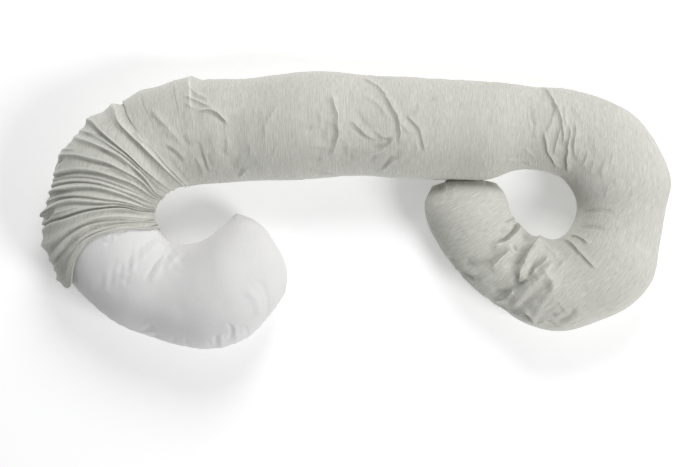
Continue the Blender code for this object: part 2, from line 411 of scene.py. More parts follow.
def seam_lift(s, angle, rows, seed):
    """The tucks that the thread of a seam draws into the cloth on both sides of it."""
    half = section(s)[2]
    lift = np.zeros_like(s)
    for start, stop, inner, tucks, depth, reach in rows:
        place = (s - start) / (stop - start)
        turn = np.angle(np.exp(1j * (angle - math.pi * inner)))
        away = np.abs(turn) * half * 0.9
        wander = 0.9 * noise(place * tucks * 0.6, np.sign(turn) * 3.0 + inner, seed + inner)
        wave = np.cos(2 * math.pi * (place * tucks + wander))
        uneven = 0.55 + 0.45 * noise(place * tucks * 0.8, np.sign(turn) * 2.0, seed + 7)
        fall = np.exp(-((away / (reach / 1000 * (0.5 + 0.6 * uneven))) ** 1.5))
        inside = smooth_step(place / 0.06) * smooth_step((1 - place) / 0.06)
        lift += depth / 1000 * (wave * 0.5 - 0.5) * uneven * fall * inside
        lift -= SEAM_DEPTH * np.exp(-((away / SEAM_BREADTH) ** 2)) * inside
    return lift


pillow_end = length - TIP_CLEARANCE
pillow_s = np.concatenate([np.linspace(a, b, n, endpoint=False) for a, b, n in PILLOW_RINGS])
tip_rings = pillow_end - np.array([0.010, 0.004, 0.001, 0])
pillow_s = np.concatenate([pillow_s[pillow_s < pillow_end - 0.012], tip_rings])
s_grid, a_grid = np.meshgrid(pillow_s, columns(PILLOW_TOP, PILLOW_UNDER), indexing="ij")


def past_hem(s, turn):
    """How far past the cover's hem the place at s and turn is, in metres."""
    hem_at = np.array(HEM_LINE)[:, None] / 1000
    folded_over = np.minimum(turn, 2 * math.pi - turn)
    return s - through(hem_at, np.linspace(0, math.pi, len(HEM_LINE)), folded_over)[..., 0]


inset = smooth_step((past_hem(s_grid, a_grid) + INSIDE_FROM) / INSIDE_OVER) * INSIDE_BY
bare = 1 - smooth_step(past_hem(s_grid, a_grid) / CREASED_TO)

# The filling swells the bare end, whose cotton is cut a little longer than its seams, so it puckers along
# them. Blender's Cloth settles a coarser copy, held along its seams, past the hem and where it lies on the
# floor, and the pillow then moves as far as its copy did.
SETTLE_RINGS, SETTLE_TOP, SETTLE_UNDER = 104, 84, 42
SETTLE_REACH = 0.52             # metres along from the tip
STARTS_IN, STARTS_OVER = 0.0030, 0.130     # how much smaller it starts, from this far before the hem
PRESSURE, SETTLE_FRAMES = 4.0, 20
SPARE_CLOTH = 0.005             # how much longer its cloth is cut, as a share
MOVE_CAP = 0.009
HELD_FROM = 0.012               # the cloth is held from this far before the hem


def starts_in(s, turn):
    """How far in the cloth starts at s and turn, before the filling swells it."""
    off_seams = np.minimum(np.abs(np.sin(turn)) * 2.5, 1)
    return STARTS_IN * smooth_step(-past_hem(s, turn) / STARTS_OVER) * off_seams


def settle():
    """Where the copy's rings and columns are and how far the cloth moves at each of them."""
    turn = columns(SETTLE_TOP, SETTLE_UNDER)
    at = np.linspace(0, SETTLE_REACH, SETTLE_RINGS)
    s, a = np.meshgrid(at, turn, indexing="ij")
    before_hem = -past_hem(s, a)
    start = skin(s, a, -starts_in(s, a), pillow_end)
    faces = tube_faces(0, SETTLE_RINGS, SETTLE_TOP, SETTLE_UNDER, True, False)
    copy, used = cloth_mesh("settling", start.reshape(-1, 3), faces)
    held = (before_hem < HELD_FROM) | ((start[..., 2] < 0.004) & (np.abs(a - 1.5 * math.pi) < 1.2))
    held |= (np.abs(np.sin(a)) < 0.02) | (s < 0.003)
    pins = copy.vertex_groups.new(name="held")
    pins.add(np.nonzero(held.ravel()[used])[0].tolist(), 1.0, "REPLACE")
    cloth = copy.modifiers.new("settling", "CLOTH").settings
    cloth.quality = 6
    cloth.mass = 0.15
    cloth.tension_stiffness = cloth.compression_stiffness = 12
    cloth.shear_stiffness = 4
    cloth.bending_stiffness = 2.0
    cloth.vertex_group_mass = "held"
    cloth.shrink_min = -SPARE_CLOTH
    cloth.use_pressure = True
    cloth.uniform_pressure_force = PRESSURE
    cloth.effector_weights.gravity = 0
    for frame in range(1, SETTLE_FRAMES + 1):
        bpy.context.scene.frame_set(frame)
    settled = copy.evaluated_get(bpy.context.evaluated_depsgraph_get()).to_mesh()
    places = np.empty(len(used) * 3)
    settled.vertices.foreach_get("co", places)
    bpy.data.objects.remove(copy)
    bpy.context.scene.frame_set(1)
    move = np.zeros((start.size // 3, 3))
    move[used] = places.reshape(-1, 3) - start.reshape(-1, 3)[used]
    move *= np.minimum(1, MOVE_CAP / np.maximum(np.linalg.norm(move, axis=1), 1e-9))[:, None]
    move = move.reshape(*s.shape, 3) * smooth_step(before_hem / STARTS_OVER + 0.05)[..., None]
    twin = SETTLE_TOP - SETTLE_TOP // SETTLE_UNDER * np.arange(1, SETTLE_UNDER)
    move[0, SETTLE_TOP + 1:] = move[0, twin]
    return at, turn, move


ring_at, column_at, move = settle()
move = through(move.reshape(len(ring_at), -1), ring_at, pillow_s).reshape(len(pillow_s), -1, 3)
move = np.concatenate([move, move[:, :1]], axis=1).transpose(1, 0, 2).reshape(len(column_at) + 1, -1)
move = through(move, np.append(column_at, 2 * math.pi), columns(PILLOW_TOP, PILLOW_UNDER))
move = move.reshape(-1, len(pillow_s), 3).transpose(1, 0, 2)

pillow_base = skin(s_grid, a_grid, 0.0, pillow_end)
pillow_lift = crease_lift(pillow_base, PILLOW_CREASES)[0]
pillow_lift += seam_lift(s_grid, a_grid, SEAM_TUCKS, 5)
for rise, reach_on, reach_round, seed in PILLOW_UNEVEN:
    pillow_lift += rise * noise(s_grid / reach_on, a_grid * MEAN_RADIUS / reach_round, seed)
pillow_lift *= bare * smooth_step(s_grid / 0.01)
pillow_lift -= inset + starts_in(s_grid, a_grid)
pillow_points = skin(s_grid, a_grid, pillow_lift, pillow_end) + move
pillow_points[..., 2] = np.maximum(pillow_points[..., 2], 0)
pillow, _ = cloth_mesh(
    "white_pillow",
    pillow_points.reshape(-1, 3),
    tube_faces(0, len(pillow_s), PILLOW_TOP, PILLOW_UNDER, True, True),
)


class Value:
    """Something that varies over a surface. Arithmetic on it adds Math nodes to its material."""

    def __init__(self, finish, socket):
        self.finish = finish
        self.socket = socket

    def math(self, operation, *values):
        return self.finish.node("ShaderNodeMath", {"operation": operation}, dict(enumerate(values)))

    def __add__(self, other):
        return self.math("ADD", self, other)

    def __sub__(self, other):
        return self.math("SUBTRACT", self, other)

    def __mul__(self, other):
        return self.math("MULTIPLY", self, other)

    def __rsub__(self, other):
        return self.math("SUBTRACT", other, self)

    __radd__ = __add__
    __rmul__ = __mul__


# A Mix node has several sockets of one name, so its colour ones go by number.
MIX_SHARE, MIX_FIRST, MIX_SECOND, MIX_RESULT = 0, 6, 7, 2


class Finish:
    """One material. Constants go straight onto the shader, and node adds whatever varies."""

    def __init__(self, name, constants):
        self.material = bpy.data.materials.new(name)
        self.material.use_nodes = True
        self.tree = self.material.node_tree
        self.shader = self.tree.nodes["Principled BSDF"]
        for socket, value in constants.items():
            self.shader.inputs[socket].default_value = value

    def node(self, kind, settings=None, values=None, output=0):
        made = self.tree.nodes.new(kind)
        for setting, value in (settings or {}).items():
            setattr(made, setting, value)
        for socket, value in (values or {}).items():
            if isinstance(value, Value):
                self.tree.links.new(value.socket, made.inputs[socket])
            else:
                made.inputs[socket].default_value = value
        return Value(self, made.outputs[output])

    def noise(self, place, scale, detail=2.0, rough=0.5, wander=0.0):
        """Noise over place, which is stretched by the three numbers in scale."""
        put = self.node("ShaderNodeMapping", {}, {"Vector": place, "Scale": scale})
        sockets = {"Vector": put, "Scale": 1.0, "Detail": detail, "Roughness": rough, "Distortion": wander}
        return self.node("ShaderNodeTexNoise", {}, sockets)

    def spread(self, value, low, high):
        """value, stretched so that low becomes 0 and high becomes 1."""
        return self.node("ShaderNodeMapRange", {}, {"Value": value, "From Min": low, "From Max": high})

    def bell(self, value, centre, breadth):
        """1 where value is centre, and 0 from breadth away on."""
        away = self.node("ShaderNodeMath", {"operation": "ABSOLUTE"}, {0: value - centre})
        values = {"Value": away, "From Min": breadth, "From Max": 0.0}
        return self.node("ShaderNodeMapRange", {"interpolation_type": "SMOOTHSTEP"}, values)

    def blend(self, share, first, second, kind="MIX"):
        settings = {"data_type": "RGBA", "blend_type": kind}
        colours = {MIX_SHARE: share, MIX_FIRST: first, MIX_SECOND: second}
        return self.node("ShaderNodeMix", settings, colours, output=MIX_RESULT)

    def bump(self, height, distance, strength=1.0, under=None):
        values = {"Height": height, "Distance": distance, "Strength": strength}
        if under is not None:
            values["Normal"] = under
        return self.node("ShaderNodeBump", {}, values)

    def drive(self, socket, value):
        self.tree.links.new(value.socket, self.shader.inputs[socket])

    def put_on(self, piece):
        piece.data.materials.clear()
        piece.data.materials.append(self.material)


# White cotton: a fine plain weave with a faint sheen, a little uneven in shade.
WHITE_LIGHT, WHITE_DARK = (0.745, 0.74, 0.735, 1), (0.685, 0.68, 0.675, 1)
WHITE_THREADS = 1700            # threads to the metre
white = Finish("white_cotton", {"Roughness": 0.82, "Sheen Weight": 0.2, "Sheen Roughness": 0.5,
                                "Specular IOR Level": 0.25})
place = white.node("ShaderNodeTexCoord", {}, {}, output="Object")
shade = white.noise(place, (22, 22, 22), 3.0, 0.55)
warp = white.noise(place, (WHITE_THREADS, WHITE_THREADS / 8, WHITE_THREADS / 3), 1.0)
weft = white.noise(place, (WHITE_THREADS / 8, WHITE_THREADS, WHITE_THREADS / 3), 1.0)
soft = white.noise(place, (120, 120, 120), 3.0, 0.6)
white.drive("Base Color", white.blend(shade, WHITE_DARK, WHITE_LIGHT))
white.drive("Roughness", 0.78 + soft * 0.1)
coarse = white.bump(soft, 0.0012, 0.35)
white.drive("Normal", white.bump(warp + weft, 0.0003, 0.35, coarse))
white.put_on(pillow)

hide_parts("pillow")
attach(pillow, "root")


# The cover. A sleeve of crinkled sage-grey gauze, cut as two curled panels, sewn down both sides and
# round the right-hand tip. It has been drawn back off the left end, where it gathers in lapped folds.

# Its gathers, from the hem on. Each row is the crest of one fold: where it crosses every 30 degrees from the
# outer seam over the top to the inner seam, how far it rises every 45 degrees, how far the cloth before it
# stays up at the outer seam, and its lip: 0 is a soft swell, 1 a fold that drops sharply on the side of the
# hem and -1 one that drops sharply on its far side.
GATHERS = (
    # along (mm), rises (mm), hollow before it (mm), lip
    ((442, 432, 463, 482, 466, 414, 383), (22.0, 7.0, 3.4, 3.2, 5.0), 0, 0.0),
    ((452, 451, 474, 487, 472, 421, 390), (26.0, 9.5, 4.0, 3.6, 8.0), 22, -0.4),
    ((463, 470, 483, 496, 489, 450, 412), (19.0, 9.0, 4.0, 2.8, 5.0), 17, -0.4),
    ((478, 483, 499, 511, 497, 458, 438), (17.0, 11.0, 6.5, 4.0, 4.0), 13, -0.8),
    ((503, 503, 515, 526, 517, 483, 464), (24.0, 13.0, 4.5, 3.0, 4.0), 10, 0.2),
    ((521, 526, 531, 541, 541, 514, 496), (21.0, 12.0, 8.0, 6.0, 4.0), 15, -0.9),
    ((533, 537, 544, 554, 553, 523, 508), (17.0, 13.0, 6.0, 4.0, 3.0), 7, 0.8),
    ((545, 556, 567, 565, 559, 531, 516), (21.0, 13.0, 7.0, 5.0, 4.0), 9, 0.9),
    ((563, 569, 577, 576, 566, 538, 524), (12.0, 10.0, 5.5, 4.5, 3.0), 4, 0.8),
    ((577, 584, 595, 601, 586, 557, 544), (8.0, 14.0, 8.5, 5.5, 4.0), 2, 1.0),
    ((588, 594, 605, 610, 600, 578, 568), (8.0, 9.0, 5.5, 4.0, 3.0), 1, 0.8),
    ((597, 602, 614, 620, 611, 590, 580), (9.0, 6.0, 4.0, 3.0, 2.0), 5, 0.6),
    ((606, 611, 627, 637, 630, 603, 595), (13.0, 13.0, 9.5, 6.5, 4.0), 6, 1.0),
    ((635, 643, 653, 662, 653, 616, 606), (16.0, 14.0, 9.0, 6.5, 4.0), 7, 0.8),
    ((672, 675, 681, 685, 668, 625, 614), (12.0, 8.0, 6.5, 5.0, 3.0), 5, 0.7),
    ((682, 687, 693, 693, 682, 658, 650), (9.0, 5.0, 5.0, 4.0, 3.0), 5, 0.6),
    ((705, 707, 706, 702, 691, 680, 676), (17.0, 12.0, 9.5, 6.5, 4.0), 5, 0.6),
    ((748, 746, 738, 741, 743, 747, 750), (13.6, 10.0, 9.0, 6.5, 4.0), 6, 0.5),
    ((762, 760, 755, 754, 758, 766, 770), (0.0, 0.0, 0.8, 3.4, 2.6), 0, 0.3),
    ((795, 793, 790, 788, 788, 790, 795), (14.0, 2.0, 0.0, 1.0, 1.0), 7, 0.0),
    ((852, 851, 848, 845, 843, 842, 842), (14.0, 3.0, 0.5, 0.0, 0.0), 9, 0.0),
    ((880, 878, 876, 874, 873, 872, 872), (14.5, 2.6, 0.0, 0.0, 0.0), 13, 0.0),
    ((912, 911, 908, 906, 905, 904, 904), (0.0, 0.0, 0.0, 0.0, 0.0), 0, 0.0),
)
RING_GAP = 0.0027                         # how far apart the rings over the gathers are on average, at most
FALL = 0.026                              # how far a fold falls away behind its crest
SOFT_FACE, SHARP_FACE = 0.018, 0.009      # how long its drop towards the hem is, soft or lapped
FACE_POWER = 2.1                          # how much steeper that drop is at the crest than at its foot
ROLL, ROLL_BREADTH = 0.0014, 0.0021       # the roll of doubled cloth along a crest
GROOVE, GROOVE_BREADTH = 0.0010, 0.0028   # how far the cloth goes in at the foot of a lapped fold
LEAN = 0.20                               # how far its crest leans over that groove, as a share of its rise
ROUND_LOBES = 0.85                        # how much rounder the folds are where they turn over the outer seam
UNDER_SHARE = 0.35                        # on the underside a fold keeps this share of its rise at the sides

COVER_TOP, COVER_UNDER = 112, 28
COVER_RINGS = (
    # along from, to (m), rings
    (0.916, 0.960, 10),
    (0.960, 1.140, 24),
    (1.140, 1.425, 78),
    (1.425, 1.600, 26),
    (1.600, 1.860, 86),
    (1.860, 2.050, 38),
    (2.050, 2.648, 158),
)
COVER_TIP = (0.012, 0.008, 0.005, 0.0025, 0.001, 0.0)
CLOTH = 0.0017
DEEPEST = 0.0078                          # how far in the filling lets a crease go

# What creases it between and past its gathers, in millimetres as crease_lift takes them.
COVER_CREASES = (
    # between the gathers
    (3.1, 5, 5, ((-652, 189), (-633, 187), (-615, 183))),
    (3.4, 6, 5, ((-532, 105), (-520, 93), (-507, 80), (-495, 65))),
    (3.1, 5, 4, ((-613, 153), (-586, 137), (-558, 118), (-533, 94))),
    (2.5, 5, 4, ((-612, 108), (-574, 94), (-538, 78), (-515, 65))),
    (4.8, 4, 5, ((-755, -25), (-752, -12), (-728, -2), (-714, 4))),
    (-6.3, 4, 4, ((-744, -25), (-733, -14), (-722, -5), (-714, 0))),
    (3.6, 5, 4, ((-747, -18), (-724, -9), (-704, -1), (-677, 6), (-655, 12))),
    (2.8, 4, 4, ((-633, 22), (-611, 20), (-590, 16), (-570, 14))),
    (2.2, 4, 4, ((-611, 32), (-585, 27), (-560, 23), (-530, 15), (-510, 7))),
    (-2.8, 4, 4, ((-601, 11), (-575, 9), (-544, 8), (-525, 7))),
    (-3.1, 4, 4, ((-591, -4), (-565, -3), (-538, -4), (-518, -10))),
    (-3.6, 9, 9, ((-646, -46), (-621, -36), (-601, -30), (-575, -27), (-549, -27))),
    (-3.9, 9, 10, ((-723, -133), (-705, -105), (-683, -79), (-660, -57))),
    (2.2, 4, 4, ((-575, -26), (-565, -18), (-558, -12))),
    (2, 4, 4, ((-599, -28), (-588, -20), (-578, -14))),
    (1.7, 4, 4, ((-535, -23), (-530, -18), (-526, -14))),
    (3.6, 5, 4, ((-718, 136), (-704, 143), (-683, 144), (-665, 145))),
    (2.8, 5, 4, ((-711, 154), (-699, 158), (-665, 154))),
    (3.4, 4, 5, ((-736, 97), (-720, 105), (-702, 109), (-690, 117))),
    (-4.2, 5, 5, ((-717, 110), (-706, 115), (-697, 120))),
    (2.5, 4, 4, ((-721, 47), (-702, 52), (-684, 52), (-661, 48))),
    (2.2, 4, 4, ((-617, 65), (-590, 57), (-564, 46), (-545, 37))),
    (2.2, 4, 4, ((-574, 60), (-549, 51), (-524, 40), (-504, 28))),
    (3.1, 6, 5, ((-595, 107), (-574, 99), (-550, 86), (-530, 71))),
    (2.2, 5, 4, ((-490, 239), (-481, 228), (-466, 211), (-455, 198))),
    (2.2, 5, 5, ((-461, 198), (-447, 185), (-439, 171))),
    (2.8, 6, 5, ((-528, 190), (-514, 171), (-498, 158))),
    (2.2, 4, 5, ((-598, 233), (-590, 248), (-590, 258))),
    (2.2, 4, 5, ((-625, 233), (-614, 240), (-604, 247))),
    # straight middle, past the gathers
    (2.1, 6, 4, ((-412, 294), (-399, 290), (-384, 282), (-370, 274), (-352, 262))),
    (-1.9, 4, 4, ((-403, 280), (-386, 273), (-370, 265))),
    (3.2, 6, 4, ((-418, 273), (-405, 270), (-388, 266), (-372, 259), (-356, 252), (-337, 241))),
    (1.9, 5, 4, ((-410, 258), (-397, 249), (-381, 239))),
    (4, 8, 4, ((-385, 237), (-371, 241), (-355, 242), (-339, 237), (-323, 227), (-309, 215), (-302, 202))),
    (-2.4, 4, 4, ((-355, 234), (-339, 228), (-320, 214), (-308, 204))),
    (2.2, 6, 4, ((-493, 248), (-486, 239), (-472, 225), (-456, 204), (-442, 188), (-426, 171), (-416, 154))),
    (-2.1, 5, 5, ((-461, 154), (-440, 140), (-425, 128), (-414, 111))),
    (1.8, 7, 5, ((-456, 163), (-435, 148), (-419, 135), (-409, 120))),
    (-1.8, 6, 6, ((-412, 186), (-406, 167), (-397, 151))),
    (-2.1, 5, 5, ((-381, 169), (-371, 140), (-362, 112), (-353, 84))),
    (1.9, 5, 4, ((-382, 130), (-373, 99), (-370, 78))),
    (1.9, 5, 4, ((-369, 147), (-359, 120), (-355, 92))),
    (-1.9, 4, 4, ((-359, 141), (-351, 117), (-347, 97))),
    (1.6, 5, 4, ((-349, 180), (-339, 154), (-332, 126))),
    (1.6, 5, 4, ((-307, 175), (-305, 151), (-308, 131))),
    (-4.4, 22, 22, ((-299, 236), (-291, 157), (-297, 86))),
    (-2.4, 12, 12, ((-320, 212), (-317, 169), (-316, 121))),
    (1.9, 30, 22, ((-225, 253), (-215, 169), (-226, 94))),
    (1.8, 5, 4, ((-251, 163), (-253, 141), (-258, 125))),
    (1.6, 5, 4, ((-271, 139), (-280, 112), (-285, 92))),
    (2.7, 6, 4, ((-259, 101), (-270, 93), (-283, 82))),
    (-2.7, 4, 4, ((-269, 107), (-278, 96), (-285, 85))),
    (1.8, 6, 4, ((-185, 254), (-198, 232), (-212, 211), (-217, 185), (-213, 172))),
    (1.4, 5, 4, ((-182, 174), (-193, 148), (-199, 127))),
    (1.3, 4, 4, ((-222, 84), (-158, 86), (-120, 95), (-101, 106))),
    # straight middle, up to the bend
    (3.3, 9, 4, ((15, 326), (36, 314), (54, 302), (67, 285), (78, 268), (90, 247), (101, 226), (106, 208),
     (107, 188), (105, 155))),
    (-1.8, 4, 4, ((63, 276), (72, 257), (82, 238), (92, 221), (97, 206), (96, 191), (88, 177))),
    (1.2, 4, 4, ((76, 277), (92, 256), (101, 244))),
    (1.5, 8, 5, ((15, 282), (32, 272), (49, 261), (64, 246), (77, 223))),
    (-1.8, 6, 6, ((0, 246), (9, 227), (22, 209), (39, 190))),
    (2.3, 6, 4, ((-20, 219), (-1, 208), (15, 193), (31, 179), (52, 167))),
    (-2.3, 4, 4, ((-14, 199), (4, 190), (15, 180), (28, 171))),
    (1.8, 5, 4, ((39, 198), (52, 187), (66, 177), (80, 176), (94, 183))),
    (-2.4, 5, 5, ((63, 177), (78, 168), (74, 159), (56, 152), (37, 145))),
    (2.3, 4, 6, ((15, 134), (36, 136), (58, 141), (74, 153), (88, 166), (97, 180))),
    (-2.2, 5, 5, ((53, 133), (40, 124), (30, 114))),
    (-3, 5, 5, ((91, 135), (80, 120), (64, 103))),
    (2, 7, 4, ((113, 135), (100, 123), (79, 109), (58, 93))),
    (-1.8, 4, 4, ((103, 149), (101, 130), (93, 115))),
    (2.6, 7, 4, ((120, 237), (128, 223), (142, 211), (152, 198), (160, 179), (163, 161), (166, 137))),
    (-1.8, 4, 4, ((113, 233), (124, 218), (137, 207), (146, 195), (153, 176), (157, 156), (159, 140))),
    (1.6, 5, 4, ((106, 211), (121, 195), (135, 181))),
    (1.5, 5, 4, ((148, 260), (155, 246), (150, 232))),
    (1.2, 5, 4, ((143, 166), (149, 148), (143, 135))),
    (3.7, 10, 7, ((-59, 281), (-51, 260), (-43, 237), (-42, 211), (-41, 187), (-45, 166), (-52, 146),
     (-63, 129))),
    (-2.4, 9, 9, ((-55, 211), (-51, 193), (-55, 172), (-62, 151))),
    (-2.2, 8, 8, ((-73, 219), (-74, 200), (-81, 180), (-85, 161))),
    (1.5, 5, 4, ((-85, 237), (-82, 211), (-86, 187))),
    (-1.6, 5, 5, ((-106, 203), (-110, 195), (-116, 187))),
    (-1.8, 4, 4, ((-9, 152), (-10, 138), (-12, 124))),
    (1.4, 5, 4, ((-17, 167), (-16, 145), (-17, 130))),
    (-1.5, 4, 4, ((-33, 169), (-32, 156), (-33, 143))),
    (-1.4, 4, 4, ((-85, 129), (-92, 124), (-98, 121))),
    (1.2, 4, 4, ((-68, 156), (-87, 156), (-110, 154))),
    (-2, 4, 4, ((-98, 99), (-82, 95), (-65, 93), (-50, 93))),
    (1.8, 5, 4, ((-114, 108), (-93, 103), (-71, 101), (-50, 97), (-28, 92))),
    (1.1, 5, 4, ((212, 241), (222, 217))),
    (1.2, 5, 4, ((21, 337), (58, 325), (102, 324))),
    (1.4, 5, 5, ((211, 324), (245, 322), (277, 310))),
    # right-hand bend
    (1.5, 4, 5, ((365, 293), (386, 303), (411, 311))),
    (2.4, 5, 5, ((383, 275), (400, 281), (421, 294))),
    (4.6, 11, 4, ((454, 307), (462, 298), (473, 279), (483, 257), (491, 235), (498, 217), (501, 198),
     (501, 181), (499, 158))),
    (-2.5, 4, 4, ((476, 264), (477, 247), (475, 224))),
    (2, 6, 4, ((481, 252), (478, 231), (472, 210), (462, 194), (462, 177))),
    (3.2, 8, 4, ((496, 203), (491, 187), (485, 166), (483, 148), (482, 131))),
    (4.6, 9, 4, ((453, 198), (456, 177), (461, 158), (467, 141), (476, 126), (486, 113), (497, 100))),
    (-2, 4, 4, ((422, 263), (422, 241), (425, 222), (427, 203))),
    (1.7, 4, 4, ((419, 269), (418, 236), (420, 209), (424, 185))),
    (1.7, 5, 4, ((436, 219), (434, 196), (436, 171))),
    (5.3, 6, 4, ((520, 208), (518, 192), (516, 174), (513, 149), (512, 126), (514, 105), (518, 89))),
    (-2, 4, 4, ((524, 211), (523, 190), (520, 166), (520, 144))),
    (3.2, 8, 4, ((530, 217), (532, 195), (529, 171), (526, 149), (530, 123))),
    (2, 6, 4, ((502, 259), (506, 238), (508, 217), (510, 198))),
    (1.4, 6, 5, ((525, 253), (536, 238), (545, 227))),
    (2, 5, 4, ((561, 144), (554, 123), (545, 102))),
    (2.2, 6, 4, ((602, 130), (596, 107), (587, 80))),
    (1.7, 5, 4, ((622, 144), (615, 123), (609, 108))),
    (1.5, 5, 4, ((613, 67), (605, 48), (601, 32))),
    (1.4, 5, 4, ((628, 80), (622, 59))),
    (1.4, 5, 4, ((578, 171), (575, 144))),
    (1.7, 5, 4, ((542, 155), (536, 133), (534, 118))),
    (1.5, 5, 4, ((575, 123), (570, 102), (563, 83))),
    (-1.4, 4, 4, ((660, 48), (665, 35))),
    (1.5, 4, 4, ((554, 2), (563, 14), (571, 24), (580, 28))),
    (-2.2, 4, 5, ((549, -10), (565, -2), (583, 1), (603, -2), (619, -6), (627, -13))),
    (2, 5, 6, ((545, -18), (564, -9), (584, -6), (604, -8), (622, -13))),
    (-2.2, 4, 5, ((539, -37), (558, -39), (578, -41), (593, -45), (609, -51))),
    (2, 5, 6, ((538, -44), (558, -45), (578, -47), (598, -53))),
    (-2, 4, 4, ((389, 122), (404, 118), (415, 113), (430, 106), (449, 101), (471, 95))),
    (1.5, 4, 4, ((353, 125), (372, 126), (392, 124), (406, 120))),
    (-1, 3.5, 3.5, ((362, 200), (373, 198), (387, 191))),
    (1.4, 4, 4, ((401, 156), (418, 143), (435, 129))),
    # curled end
    (10, 15, 6, ((419, -27), (408, -40), (398, -52), (384, -64), (370, -72), (352, -79), (337, -84),
     (323, -85))),
    (-5.5, 6, 6, ((404, -37), (388, -49), (371, -63), (353, -72), (334, -79))),
    (-2.2, 4, 4, ((348, -52), (363, -49), (376, -47))),
    (-1.6, 4, 4, ((290, -52), (306, -50), (320, -51))),
    (-6.4, 9, 9, ((374, -87), (359, -99), (343, -109), (329, -118), (308, -127), (284, -129), (258, -124))),
    (5.4, 10, 9, ((379, -92), (363, -106), (349, -118), (334, -134), (324, -145))),
    (-3.8, 4, 4, ((382, -84), (387, -92), (388, -99))),
    (3, 4, 4, ((372, -84), (376, -93), (382, -99))),
    (-6.2, 6, 6, ((438, -80), (424, -90), (411, -99), (401, -113), (391, -127), (381, -137))),
    (13, 20, 7, ((459, -57), (450, -72), (437, -83), (421, -98), (413, -110), (406, -125), (398, -138),
     (395, -159), (396, -179))),
    (3, 5, 4, ((413, -84), (401, -104), (393, -116), (384, -127))),
    (-3.2, 9, 9, ((405, -59), (421, -67), (436, -74))),
    (-3.4, 4.5, 4.5, ((442, -111), (434, -129), (426, -139), (419, -152), (416, -165))),
    (5, 8, 5.5, ((466, -103), (461, -114), (450, -130), (436, -142), (424, -156), (418, -167))),
    (9, 9, 9, ((478, -118), (466, -136), (454, -151), (437, -169), (419, -183), (405, -202), (388, -221),
     (382, -237))),
    (-7.4, 12, 12, ((436, -151), (416, -166), (395, -180), (377, -191), (353, -196), (325, -192))),
    (-4, 8, 8, ((393, -152), (391, -168), (381, -180))),
    (-4.6, 9, 9, ((462, -167), (452, -184), (437, -199), (424, -213), (408, -226), (395, -236))),
    (-2.4, 7, 7, ((466, -177), (462, -197), (449, -211), (436, -229))),
    (3.6, 5, 7, ((364, -211), (372, -203), (386, -194))),
    (6, 11, 11, ((449, -133), (458, -143), (464, -153), (470, -164), (473, -177), (470, -197), (456, -212),
     (445, -229), (436, -247), (432, -264), (433, -278))),
    (2.6, 6, 5, ((505, -118), (488, -137), (475, -154))),
    (-5.5, 7, 7, ((523, -230), (525, -246), (516, -258), (500, -267), (487, -276))),
    (2.2, 3, 4, ((455, -236), (469, -223), (486, -207))),
    (2.2, 3, 4, ((462, -252), (479, -238), (496, -222))),
    (2.2, 3, 4, ((479, -261), (494, -251), (511, -236))),
    (-2, 3.5, 3.5, ((484, -219), (495, -238), (512, -259))),
    (-2, 3.5, 3.5, ((466, -238), (480, -253), (491, -266))),
    (-3.4, 3.5, 3.5, ((459, -264), (477, -274), (497, -286))),
    (8.5, 7, 4.5, ((374, -243), (385, -248), (398, -249), (414, -246), (422, -253), (427, -262), (435, -270),
     (447, -271), (460, -266), (471, -259))),
    (-3, 4, 4, ((387, -253), (399, -254), (414, -254), (422, -261), (430, -274))),
    (6, 7, 4, ((240, -136), (248, -140), (261, -143), (277, -148), (300, -154))),
    (-5, 5, 5, ((256, -147), (271, -155), (290, -165))),
    (5, 5, 3, ((255, -148), (279, -173), (303, -196), (330, -219))),
    (5, 5, 3, ((325, -215), (352, -232), (378, -245))),
    (-3.4, 5, 5, ((230, -123), (237, -119), (244, -117))),
    (4.4, 11, 11, ((295, -175), (316, -167), (339, -155), (360, -137), (373, -123))),
    (3.6, 7, 8, ((336, -223), (356, -218), (372, -206), (383, -192))),
    (4.4, 5, 4, ((185, 60), (193, 53), (212, 54), (235, 43), (247, 32))),
    (-3.6, 4, 4, ((195, 49), (212, 47), (221, 40), (232, 31))),
    (3, 6, 5, ((185, 73), (205, 67), (222, 67), (240, 60))),
    (6, 4, 5, ((410, -11), (392, -17), (376, -20), (358, -26))),
    (6, 4, 5, ((430, -24), (408, -33), (392, -33), (375, -36))),
    (-3, 4, 4, ((488, -65), (498, -68), (508, -75), (522, -89), (539, -106))),
    (-1.8, 3.5, 3.5, ((534, -102), (553, -124), (575, -145))),
    (3.6, 8, 4, ((504, -66), (518, -73), (532, -88), (545, -107), (563, -125), (579, -142))),
    (-1.8, 3.5, 3.5, ((515, -64), (532, -63), (546, -71), (555, -85))),
    (3, 6, 4, ((520, -57), (536, -59), (551, -68), (563, -84))),
    (2.4, 4, 4, ((459, -74), (467, -89), (478, -102))),
    (1.8, 5, 5, ((476, -84), (484, -106), (488, -124))),
    (1.6, 4, 4, ((663, 50), (668, 33))),
    (1.6, 4, 4, ((617, -138), (634, -153))),
    (3, 6, 6, ((757, 111), (764, 87), (767, 58), (760, 27))),
)

# Where the filling lies thicker, so that the cover swells over it.
FILLING_SWELLS = (
    # along, reach and rise (m)
    (1.115, 0.080, 0.0065),
    (1.590, 0.080, 0.0035),
)

# How uneven the rest of the cloth is. Less of it stays where it is gathered, and none at the sewn tip.
COVER_UNEVEN = (
    # rise, reach across and along the grain (m), seed, share that stays in the gathers
    (0.0018, 0.100, 0.120, 31, 0.5),
    (0.0009, 0.035, 0.100, 32, 0.5),
    (0.0005, 0.014, 0.055, 33, 1.0),
)
GATHERED_TO, GATHERED_FADE, TIP_FADE = 0.9, 0.1, 0.03
CROSSING_WANDER, RISE_UNEVEN = 0.0017, 0.22     # how far a fold strays, and how unevenly it rises

